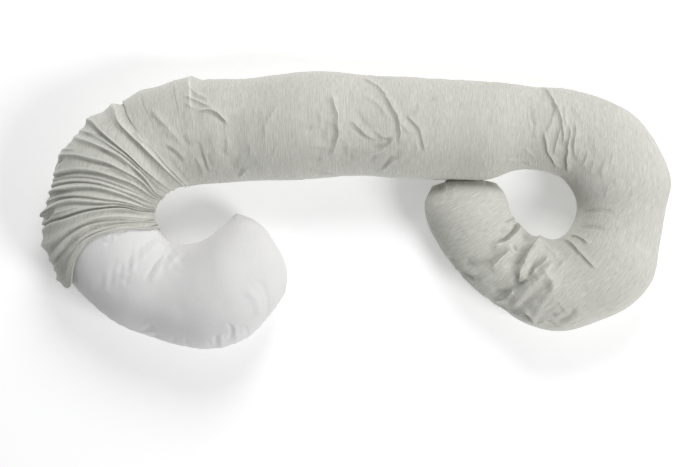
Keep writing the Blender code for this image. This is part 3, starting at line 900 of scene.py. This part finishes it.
crossings = np.array([row[0] for row in GATHERS]) / 1000
rises = np.array([row[1] for row in GATHERS]) / 1000
hollows = np.array([row[2] for row in GATHERS]) / 1000
lips = np.array([row[3] for row in GATHERS])
turns = columns(COVER_TOP, COVER_UNDER)
over_top = np.minimum(turns, 2 * math.pi - turns)
outside = np.maximum(np.cos(turns), 0) ** 1.5


def crossing_of(row):
    """Where fold number row crosses each of the cover's columns, in metres along the pillow."""
    over = through(crossings[row][:, None], np.linspace(0, math.pi, 7), over_top)[:, 0]
    mean, reach = (crossings[row, 0] + crossings[row, -1]) / 2, (crossings[row, 0] - crossings[row, -1]) / 2
    wander = CROSSING_WANDER * noise(turns * 2.6, np.full_like(turns, row * 3.0), 21)
    return np.where(turns <= math.pi, over, mean + reach * np.cos(turns)) + wander


def rise_of(row):
    """How far fold number row rises at each of the cover's columns."""
    over = through(rises[row][:, None], np.linspace(0, math.pi, 5), over_top)[:, 0]
    side = np.where(np.cos(turns) > 0, rises[row, 0], rises[row, -1])
    under = side * (UNDER_SHARE + (1 - UNDER_SHARE) * np.abs(np.cos(turns)) ** 6)
    uneven = 1 + RISE_UNEVEN * noise(turns * 2.4, np.full_like(turns, row * 5.0), 22)
    return np.where(turns <= math.pi, over, under) * uneven


def flank(away, gap, rise, lip):
    """One side of a fold, away from its crest: its height, its groove and its shift sideways, for a side
    that swells softly at lip 0 and drops sharply at lip 1."""
    sharp = max(lip, 0.0)
    face = np.minimum(SOFT_FACE + (SHARP_FACE - SOFT_FACE) * sharp, gap * 0.75)
    soft = 1 - smooth_step(away / np.minimum(FALL, gap - face * 0.4))
    steep = np.maximum(1 - away / face, 0) ** FACE_POWER
    share = (1 - ROUND_LOBES * smooth_step(outside * 1.3)) * (lip > 0)
    full = np.minimum(rise / CRISP_RISE, 1) * (1 - 0.5 * outside)
    height = rise * (soft + (steep - soft) * share) + ROLL * full * np.exp(-((away / ROLL_BREADTH) ** 2))
    groove = sharp * full * np.exp(-(((away - 0.6 * face) / GROOVE_BREADTH) ** 2))
    return height, groove, rise * abs(lip) * (1 - smooth_step(away / np.minimum(0.006, 0.4 * gap)))


gather_s, gather_lift, painted_gather_shading = [], [], []
for row in range(len(GATHERS) - 1):
    start, stop = crossing_of(row), crossing_of(row + 1)
    gap = np.maximum(stop - start, 0.004)
    low = hollows[row + 1] * outside
    near, far = np.maximum(rise_of(row) - low, 0), np.maximum(rise_of(row + 1) - low, 0)
    count = int(np.clip(gap.max() / RING_GAP, 5, 17))
    for step in range(count):
        t = step / count - 0.10 * math.sin(2 * math.pi * step / count)
        past, ahead = gap * t, gap * (1 - t)
        last_height, last_groove, last_shift = flank(past, gap, near, -lips[row])
        next_height, next_groove, next_shift = flank(ahead, gap, far, lips[row + 1])
        shift = last_shift * np.sign(lips[row]) + next_shift * np.sign(lips[row + 1])
        groove = last_groove + next_groove
        # The mark is a painted highlight along each crest and painted shade in the groove at the foot of a
        # lapped fold.
        crest = np.exp(-((past / CRISP) ** 2)) * np.minimum(near / CRISP_RISE, 1)
        crest += np.exp(-((ahead / CRISP) ** 2)) * np.minimum(far / CRISP_RISE, 1)
        gather_s.append(start + past - LEAN * shift)
        gather_lift.append(low + last_height + next_height - GROOVE * groove)
        painted_gather_shading.append(0.8 * crest - groove)

plain_s = np.concatenate([np.linspace(a, b, n, endpoint=False) for a, b, n in COVER_RINGS])
plain_s = np.concatenate([plain_s, length - np.array(COVER_TIP)])
cover_s = np.concatenate([gather_s, np.repeat(plain_s[:, None], len(turns), axis=1)])
fold_lift = np.zeros_like(cover_s)
fold_lift[:len(gather_s)] = gather_lift
painted_fold_shading = np.zeros_like(cover_s)
painted_fold_shading[:len(gather_s)] = painted_gather_shading
cover_turn = np.broadcast_to(turns, cover_s.shape)

# How the flat cloth was cut: the crinkle runs straight up and down its panels, and this is the way that it
# points on the pillow, as the curled ends turn it.
GRAIN = (
    # along (m), direction of the crinkle (degrees)
    (0.38, 58),
    (0.52, 66),
    (0.62, 82),
    (0.75, 90),
    (1.85, 89),
    (2.00, 82),
    (2.12, 62),
    (2.25, 51),
    (2.42, 46),
    (2.55, 33),
    (2.66, 28),
)
grain = np.array(GRAIN)


def cut_place(s, turn):
    """Where the cloth at s and turn lies in the flat cut panel, in metres."""
    fine = np.linspace(0, length, 1200)
    heading = through(plan, along, fine)[:, 2] - math.pi / 2
    turned = np.radians(90 - np.interp(fine, grain[:, 0], grain[:, 1]))
    flat_heading = heading - math.pi + turned
    step = np.gradient(fine)
    x, y = np.cumsum(np.cos(flat_heading) * step), np.cumsum(np.sin(flat_heading) * step)
    middle = np.stack([np.interp(s, fine, x), np.interp(s, fine, y)], axis=-1)
    facing = np.interp(s, fine, flat_heading + math.pi / 2)
    out = section(s)[2] * 1.25 * (1 - np.minimum(turn, 2 * math.pi - turn) / (math.pi / 2))
    return middle + out[..., None] * np.stack([np.cos(facing), np.sin(facing)], axis=-1)


cut = cut_place(cover_s, cover_turn)
u, v = cut[..., 0], cut[..., 1]
cover_base = skin(cover_s, cover_turn)
calm = smooth_step((length - cover_s) / TIP_FADE)
gathered = smooth_step((GATHERED_TO - cover_s) / GATHERED_FADE)
crease, painted_crease_shading, crest_lines = crease_lift(cover_base, COVER_CREASES)
cover_lift = fold_lift + crease
painted_fold_shading = np.clip(painted_fold_shading + painted_crease_shading, -1, 1)
for at, reach, rise in FILLING_SWELLS:
    cover_lift += rise * np.exp(-(((cover_s - at) / reach) ** 2))
for rise, across, along_grain, seed, stays in COVER_UNEVEN:
    left = calm * (1 - (1 - stays) * gathered)
    cover_lift += left * rise * noise(u / across, v / along_grain, seed)
COVER_TUCKS = (
    # along from, to (m), seam (0 outer, 1 inner), tucks, depth (mm), reach in from the seam (mm)
    (0.86, 2.64, 0, 70, 1.0, 14),
    (0.75, 2.64, 1, 64, 1.0, 14),
)
cover_lift += seam_lift(cover_s, cover_turn, COVER_TUCKS, 55)
cover_lift = np.maximum(cover_lift, -DEEPEST)
cover_points = skin(cover_s, cover_turn, cover_lift)

# The sewn edge of the tip stands out between its two corners.
TIP_LIP, TIP_LIP_HALF, TIP_LIP_LONG = 0.0055, 0.62, 0.022
at_tip = smooth_step(1 - (length - cover_s) / TIP_LIP_LONG)
stands = TIP_LIP * at_tip * smooth_step((TIP_LIP_HALF - np.abs(np.cos(cover_turn))) / 0.08)
stands *= 1 + 0.2 * noise(np.cos(cover_turn) * 9, at_tip, 41)
outward = section(cover_s)[1]
cover_points[..., 0] += outward[..., 1] * stands
cover_points[..., 1] -= outward[..., 0] * stands

# The inner wall follows the outer one a cloth's thickness in, with fewer points. Where it skips over a
# trough it keeps to the lowest of the points that it passes.
INNER_EVERY = 6
keep = sorted({0, 1, *range(2, len(cover_s) - 4, INNER_EVERY), len(cover_s) - 2})
inner_columns = np.concatenate([np.arange(0, COVER_TOP, 2), np.arange(COVER_TOP, COVER_TOP + COVER_UNDER)])
lowest = np.empty((len(keep), len(inner_columns)))
for n, ring in enumerate(keep):
    near = cover_lift[max(ring - INNER_EVERY, 0):ring + INNER_EVERY + 1]
    around = np.minimum.reduce([np.roll(near, shift, axis=1) for shift in (-1, 0, 1)]).min(axis=0)
    lowest[n] = (cover_lift[ring] if ring < 2 else around)[inner_columns]
inner_s, inner_turn = cover_s[keep][:, inner_columns], cover_turn[keep][:, inner_columns]
inner_points = skin(np.minimum(inner_s, length - 0.004), inner_turn, lowest - CLOTH)

half_top = COVER_TOP // 2
first_inner = cover_s.size
cover_faces = tube_faces(0, len(cover_s), COVER_TOP, COVER_UNDER, False, True)
cover_faces += [face[::-1] for face in tube_faces(first_inner, len(keep), half_top, COVER_UNDER, False, True)]
for j, column in enumerate(inner_columns):
    following = (j + 1) % len(inner_columns)
    edge = [column] if column >= COVER_TOP else [column, column + 1]
    edge.append(inner_columns[following])
    cover_faces.append([*edge[::-1], first_inner + j, first_inner + following])
# fold carries the painted highlight and painted shade of the folds and creases, and the crest lines carry
# thin painted highlights, painted shade and bump.
extra = {
    "cut_cloth": np.concatenate([cut.reshape(-1, 2), cut[keep][:, inner_columns].reshape(-1, 2)]),
    "fold": np.concatenate([painted_fold_shading.ravel(), np.zeros(inner_s.size)]),
}
for n, (past, crisp) in enumerate(crest_lines):
    extra["past_crest_%d" % n] = np.concatenate([past, np.zeros(inner_s.size)])
    extra["crisp_%d" % n] = np.concatenate([crisp, np.zeros(inner_s.size)])
cover, _ = cloth_mesh(
    "gauze_cover",
    np.concatenate([cover_points.reshape(-1, 3), inner_points.reshape(-1, 3)]),
    cover_faces,
    extra,
)

# Crinkled gauze: fine ridges along the grain, a loose weave between them, and a soft mottled tone. The colour
# is darker where the crinkle is low: painted shade in its hollows.
SAGE_LIGHT, SAGE_DARK = (0.685, 0.681, 0.634, 1), (0.47, 0.467, 0.42, 1)
# The colours of the painted shade in troughs and folds and of the painted highlight along crests
SAGE_PAINTED_SHADE, SAGE_PAINTED_HIGHLIGHT = (0.27, 0.275, 0.235, 1), (0.83, 0.84, 0.79, 1)
gauze = Finish("crinkled_gauze", {"Roughness": 0.9, "Sheen Weight": 0.25, "Sheen Roughness": 0.6,
                                  "Specular IOR Level": 0.2})
flat = gauze.node("ShaderNodeUVMap", {"uv_map": "cut_cloth"}, {})
streak = gauze.noise(flat, (270, 24, 1), 2.0, 0.55, 0.2)
fine = gauze.noise(flat, (590, 60, 1), 2.0, 0.6, 0.2)
broad = gauze.noise(flat, (85, 20, 1), 2.0, 0.5, 0.4)
speck = gauze.noise(flat, (420, 330, 1), 1.0, 0.5)
mottle = gauze.noise(flat, (9, 7, 1), 3.0, 0.6)
weave = gauze.noise(flat, (1100, 1100, 1), 1.0, 0.5)
fold = gauze.node("ShaderNodeAttribute", {"attribute_name": "fold"}, {}, output="Fac")
height = gauze.spread(streak, 0.30, 0.70) * 0.33 + gauze.spread(fine, 0.28, 0.72) * 0.62 + broad * 0.05
# tone: painted shade in the crinkle's hollows from its height, with random speck and mottle
tone = height * 0.70 + gauze.spread(speck, 0.3, 0.7) * 0.08 + mottle * 0.12
colour = gauze.blend(gauze.spread(tone, 0.20, 0.80), SAGE_DARK, SAGE_LIGHT)
# Painted highlight along crests and painted shade in troughs and down steep sides, from the fold attribute.
colour = gauze.blend(gauze.spread(fold, 0.0, 1.0) * 0.5, colour, SAGE_PAINTED_HIGHLIGHT)
colour = gauze.blend(gauze.spread(fold, 0.0, -1.0) * 0.62, colour, SAGE_PAINTED_SHADE)
crinkle = gauze.bump(height, 0.0012, 0.5)

# Each sharp crease has a thin doubled crest in the bump, with a painted highlight along it, and a narrow fold
# just past it, darkened with painted shade.
LINE_SLOPE, LINE_DROP, LINE_RISE, LINE_WANDER = 0.0040, 0.0020, 0.0009, 0.0040
LINE_DARK_AT, LINE_DARK_BREADTH = 0.0023, 0.0024
wander = (gauze.noise(flat, (70, 70, 1), 2.0, 0.6) - 0.5) * LINE_WANDER
broken = gauze.spread(gauze.noise(flat, (45, 45, 1), 1.0, 0.5), 0.30, 0.62)
for n in range(LINE_SETS):
    past = gauze.node("ShaderNodeAttribute", {"attribute_name": "past_crest_%d" % n}, {}, output="Fac")
    crisp = gauze.node("ShaderNodeAttribute", {"attribute_name": "crisp_%d" % n}, {}, output="Fac")
    past, crisp = past + wander, crisp * (0.25 + broken * 0.75)
    ridge = gauze.spread(past, -LINE_SLOPE, 0.0) * gauze.spread(past, LINE_DROP, 0.0) * crisp
    colour = gauze.blend(gauze.bell(past, -0.0006, 0.0024) * crisp * 0.6, colour, SAGE_PAINTED_HIGHLIGHT)
    dark = gauze.bell(past, LINE_DARK_AT, LINE_DARK_BREADTH) * crisp * 0.36
    colour = gauze.blend(dark, colour, SAGE_PAINTED_SHADE)
    crinkle = gauze.bump(ridge, LINE_RISE, 0.9, crinkle)
gauze.drive("Base Color", colour)
gauze.drive("Roughness", 0.86 + fine * 0.08)
gauze.drive("Normal", gauze.bump(weave, 0.0003, 0.3, crinkle))
gauze.put_on(cover)

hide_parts("cover")
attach(cover, "root")


# The hem's stitching. One row of sage thread goes right round the mouth of the cover, 13 mm from its edge,
# and holds down the turned-in cloth. Each stitch is a short length of thread with rounded ends.
HEM_WIDTH = 0.013
STITCH_PITCH, STITCH_LENGTH, STITCH_THICK = 0.0036, 0.0027, 0.0006
hem_nearest = np.abs(cover_s - (cover_s[0] + HEM_WIDTH)).argmin(axis=0)
hem_path = cover_points[hem_nearest, np.arange(len(hem_nearest))]
hem_path[:, 2] = np.maximum(hem_path[:, 2], STITCH_THICK / 2)
path_mesh = bpy.data.meshes.new("hem_path")
path_mesh.from_pydata(hem_path.tolist(), [(n, (n + 1) % len(hem_path)) for n in range(len(hem_path))], [])
stitch_host = bpy.data.objects.new("hem_path", path_mesh)
bpy.context.scene.collection.objects.link(stitch_host)

thread = Finish("hem_thread", {"Roughness": 0.7, "Sheen Weight": 0.2})
twist = thread.noise(thread.node("ShaderNodeTexCoord", {}, {}, output="Object"), (2600, 2600, 2600), 1.0)
thread.drive("Base Color", thread.blend(twist, (0.52, 0.53, 0.47, 1), (0.68, 0.69, 0.63, 1)))
thread.drive("Normal", thread.bump(twist, 0.0002, 0.4))

group = bpy.data.node_groups.new("stitches_along_path", "GeometryNodeTree")
group.interface.new_socket("Path", in_out="INPUT", socket_type="NodeSocketGeometry")
inputs = {"Pitch": STITCH_PITCH, "Length": STITCH_LENGTH, "Thickness": STITCH_THICK}
for label in inputs:
    group.interface.new_socket(label, in_out="INPUT", socket_type="NodeSocketFloat")
group.interface.new_socket("Stitches", in_out="OUTPUT", socket_type="NodeSocketGeometry")
kinds = {
    "given": "NodeGroupInput",
    "curve": "GeometryNodeMeshToCurve",
    "spaced": "GeometryNodeCurveToPoints",
    "bead": "GeometryNodeMeshUVSphere",
    "size": "ShaderNodeCombineXYZ",
    "placed": "GeometryNodeInstanceOnPoints",
    "real": "GeometryNodeRealizeInstances",
    "thread": "GeometryNodeSetMaterial",
    "out": "NodeGroupOutput",
}
made = {key: group.nodes.new(kind) for key, kind in kinds.items()}
made["spaced"].mode = "LENGTH"
made["bead"].inputs["Segments"].default_value = 8
made["bead"].inputs["Rings"].default_value = 6
made["bead"].inputs["Radius"].default_value = 0.5
made["thread"].inputs["Material"].default_value = thread.material
for source, output, target, socket in (
    ("given", "Path", "curve", "Mesh"),
    ("curve", "Curve", "spaced", "Curve"),
    ("given", "Pitch", "spaced", "Length"),
    ("given", "Thickness", "size", "X"),
    ("given", "Thickness", "size", "Y"),
    ("given", "Length", "size", "Z"),
    ("spaced", "Points", "placed", "Points"),
    ("spaced", "Rotation", "placed", "Rotation"),
    ("bead", "Mesh", "placed", "Instance"),
    ("size", "Vector", "placed", "Scale"),
    ("placed", "Instances", "real", "Geometry"),
    ("real", "Geometry", "thread", "Geometry"),
    ("thread", "Geometry", "out", "Stitches"),
):
    group.links.new(made[source].outputs[output], made[target].inputs[socket])
sewing = stitch_host.modifiers.new("stitches", "NODES")
sewing.node_group = group
for item in group.interface.items_tree:
    if item.in_out == "INPUT" and item.name in inputs:
        sewing[item.identifier] = inputs[item.name]
settled = stitch_host.evaluated_get(bpy.context.evaluated_depsgraph_get())
stitch_mesh = bpy.data.meshes.new_from_object(settled)
stitch_mesh.name = "hem_stitches"
stitch_mesh.shade_smooth()
bpy.data.objects.remove(stitch_host)
stitches = bpy.data.objects.new("hem_stitches", stitch_mesh)
bpy.context.scene.collection.objects.link(stitches)
thread.put_on(stitches)
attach(stitches, "root")


# The floor and the light. A plain pale floor, two soft studio lights, one from the right and one from
# beyond the pillow, and a camera that looks straight down.
FLOOR_SIZE, FLOOR_BELOW = 14.0, 0.0005
floor_mesh = bpy.data.meshes.new("floor")
reach = FLOOR_SIZE / 2
floor_mesh.from_pydata([(-reach, -reach, 0), (reach, -reach, 0), (reach, reach, 0), (-reach, reach, 0)], [],
                       [(0, 1, 2, 3)])
floor = bpy.data.objects.new("floor", floor_mesh)
floor.location = (0, 0, -FLOOR_BELOW)
bpy.context.scene.collection.objects.link(floor)
paper = Finish("floor_paper", {"Base Color": (0.93, 0.93, 0.93, 1), "Roughness": 0.9,
                               "Specular IOR Level": 0.1,
                               "Emission Color": (1, 1, 1, 1), "Emission Strength": 0.25})
paper.put_on(floor)
floor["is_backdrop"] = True

world = bpy.data.worlds.new("studio")
bpy.context.scene.world = world
world.use_nodes = True
sky = world.node_tree.nodes["Background"]
sky.inputs["Color"].default_value = (0.98, 0.985, 1.0, 1)
sky.inputs["Strength"].default_value = 0.275


def softbox(name, place, aim, size, power):
    light = bpy.data.lights.new(name, "AREA")
    light.shape = "DISK"
    light.size = size
    light.energy = power
    box = bpy.data.objects.new(name, light)
    bpy.context.scene.collection.objects.link(box)
    box.location = place
    way = np.array(aim) - np.array(place)
    lean = math.acos(-way[2] / np.linalg.norm(way))
    box.rotation_euler = (lean, 0, math.atan2(way[1], way[0]) - math.pi / 2)


softbox("key", place=(3.9, -2.4, 3.4), aim=(0, 0, 0.1), size=2.3, power=186)
softbox("rim", place=(0.3, 3.5, 2.6), aim=(0, 0, 0.1), size=2.4, power=118)

CAMERA_AT = (-0.0135, -0.055, 4.135)
camera_data = bpy.data.cameras.new("camera")
camera_data.sensor_width = 36
camera_data.lens = 85
camera = bpy.data.objects.new("camera", camera_data)
bpy.context.scene.collection.objects.link(camera)
camera.location = CAMERA_AT
bpy.context.scene.camera = camera
bpy.context.scene.view_settings.view_transform = "Standard"

low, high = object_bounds()
